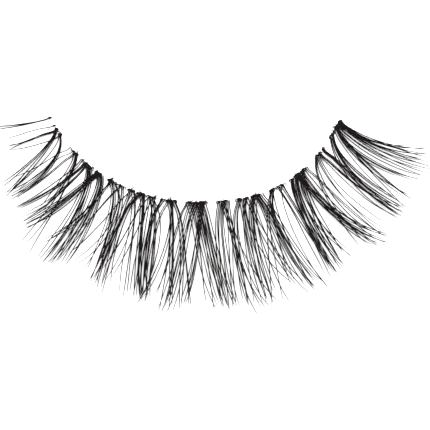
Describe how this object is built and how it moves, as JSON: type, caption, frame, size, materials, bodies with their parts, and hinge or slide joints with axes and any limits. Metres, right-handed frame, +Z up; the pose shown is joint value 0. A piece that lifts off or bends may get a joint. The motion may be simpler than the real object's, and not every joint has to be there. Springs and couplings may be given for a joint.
{
  "type": "false eyelash strip",
  "caption": "False eyelash strip: a thin clear band bent to the lid's curve, with crossed, tapered clusters of black lashes tied on it that curl up at the tips; the inner corner is shorter.",
  "frame": {"origin": "on the surface that the strip lies on, under the middle of its bounding box", "axes": "+X along the strip towards the outer corner of the eye, +Y towards the eye, so the lashes point to -Y, +Z up from the surface, the way the tips curl"},
  "size_m": [0.0406, 0.0222, 0.0054],
  "materials": {
    "clear_nylon": "clear extruded nylon thread, smooth and glossy",
    "lash_fibre": "drawn black polyester fibre with a soft gloss, tapered and heat set in a curl"
  },
  "bodies": {
    "root": {"band": "clear_nylon", "lash_cluster_01": "lash_fibre", "lash_cluster_02": "lash_fibre", "lash_cluster_03": "lash_fibre", "lash_cluster_04": "lash_fibre", "lash_cluster_05": "lash_fibre", "lash_cluster_06": "lash_fibre", "lash_cluster_07": "lash_fibre", "lash_cluster_08": "lash_fibre", "lash_cluster_09": "lash_fibre", "lash_cluster_10": "lash_fibre", "lash_cluster_11": "lash_fibre", "lash_cluster_12": "lash_fibre", "lash_cluster_13": "lash_fibre", "lash_cluster_14": "lash_fibre", "lash_cluster_15": "lash_fibre", "lash_cluster_16": "lash_fibre", "lash_cluster_17": "lash_fibre", "lash_cluster_18": "lash_fibre", "lash_cluster_19": "lash_fibre", "lash_cluster_20": "lash_fibre"}
  },
  "joints": []
}
